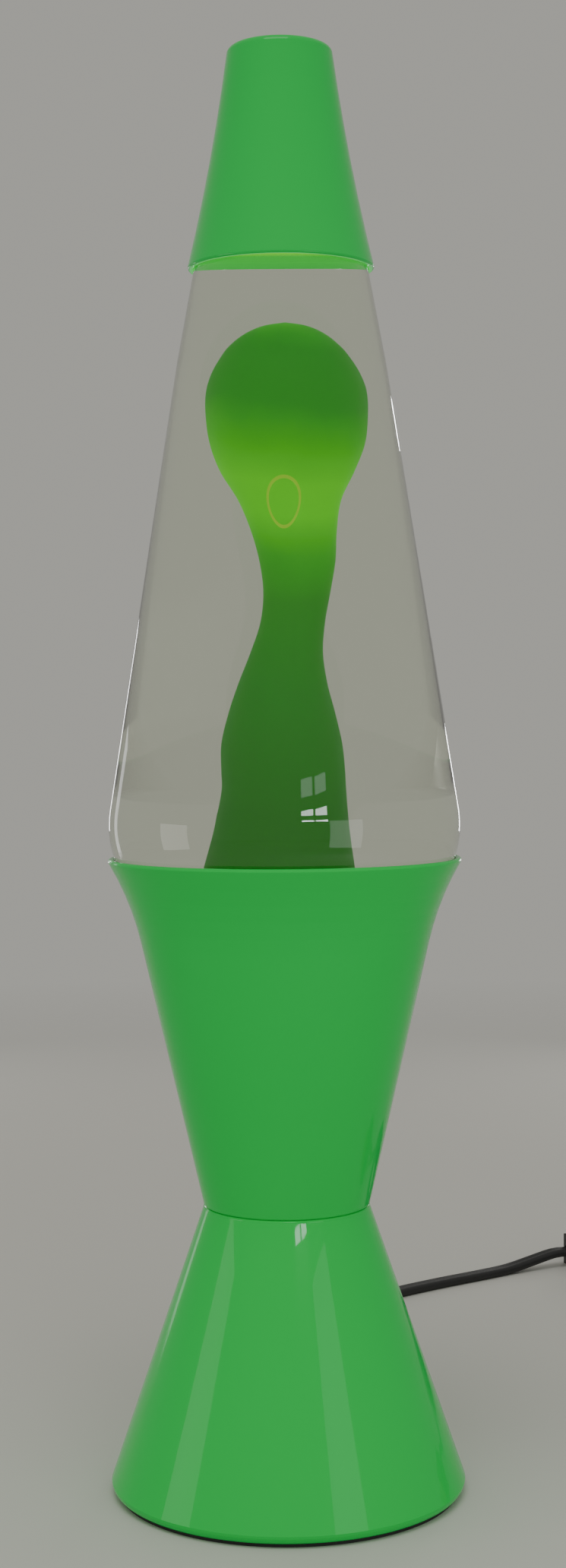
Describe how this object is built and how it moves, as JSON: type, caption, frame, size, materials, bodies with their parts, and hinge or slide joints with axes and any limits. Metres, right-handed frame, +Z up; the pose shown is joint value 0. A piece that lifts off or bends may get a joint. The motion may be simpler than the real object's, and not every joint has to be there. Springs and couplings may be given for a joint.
{
  "type": "lava lamp",
  "caption": "Lava lamp: a tapered glass globe of liquid and wax standing in a waisted metal base under a slip-on cap, with bulb, flex, switch and plug.",
  "frame": {"origin": "centre of the base on the table", "axes": "+Z up along the lamp's axis, +Y towards the back where the flex leaves, +X to the right seen from the front"},
  "size_m": [0.2421, 0.302, 0.367],
  "materials": {
    "enamel": "gloss",
    "clear_glass": "polished",
    "lamp_liquid": "clear liquid",
    "lamp_wax": "translucent wax",
    "zinc_steel": "zinc plated",
    "brass": "plain",
    "nickel_shell": "plated",
    "phenolic": "moulded",
    "black_plastic": "fine texture",
    "flex_sheath": "soft sheen",
    "foot_rubber": "matte",
    "liner_plastic": "matte",
    "lead_sleeve": "matte",
    "black_glass": "polished"
  },
  "bodies": {
    "base": {"lower_cone": "enamel", "upper_cone": "enamel", "bottom_cover": "black_plastic", "foot_ring": "foot_rubber", "waist_screws": "zinc_steel", "waist_nuts": "zinc_steel", "socket_bracket": "zinc_steel", "socket_nipple": "zinc_steel", "nipple_nuts": "zinc_steel", "socket_body": "phenolic", "socket_shell": "brass", "socket_contact": "brass", "terminal_screws": "brass", "inner_leads": "lead_sleeve", "cord_gland": "black_plastic", "flex_lamp_side": "flex_sheath", "switch_lower_half": "black_plastic", "switch_upper_half": "black_plastic", "switch_screws": "zinc_steel", "switch_contacts": "brass", "flex_switch_side": "flex_sheath", "flex_coil": "flex_sheath", "flex_tie": "black_plastic", "flex_plug_side": "flex_sheath", "plug_body": "black_plastic", "plug_blades": "brass"},
    "bulb": {"bulb_glass": "clear_glass", "bulb_shell": "nickel_shell", "bulb_contact": "black_glass", "bulb_stem": "clear_glass", "filament": "zinc_steel"},
    "globe": {"globe_glass": "clear_glass", "liquid": "lamp_liquid", "wax": "lamp_wax", "wax_coil": "zinc_steel", "crown_closure": "zinc_steel", "closure_liner": "liner_plastic"},
    "cap_body": {"cap": "enamel"},
    "rocker": {"switch_rocker": "black_plastic"}
  },
  "joints": [
    {"name": "globe_lift", "type": "slide", "parent": "base", "child": "globe", "axis": [0, 0, 1], "range_m": [0, 0.05]},
    {"name": "cap_lift", "type": "slide", "parent": "globe", "child": "cap_body", "axis": [0, 0, 1], "range_m": [0, 0.035]},
    {"name": "bulb_turn", "type": "hinge", "parent": "base", "child": "bulb", "pos_m": [0, 0, 0.06], "axis": [0, 0, 1], "range_deg": [0, 1080]},
    {"name": "rocker_tip", "type": "hinge", "parent": "base", "child": "rocker", "pos_m": [0.1273, 0.24105, 0.0084], "axis": [-0.342, 0.9397, 0], "range_deg": [-18, 0]}
  ]
}
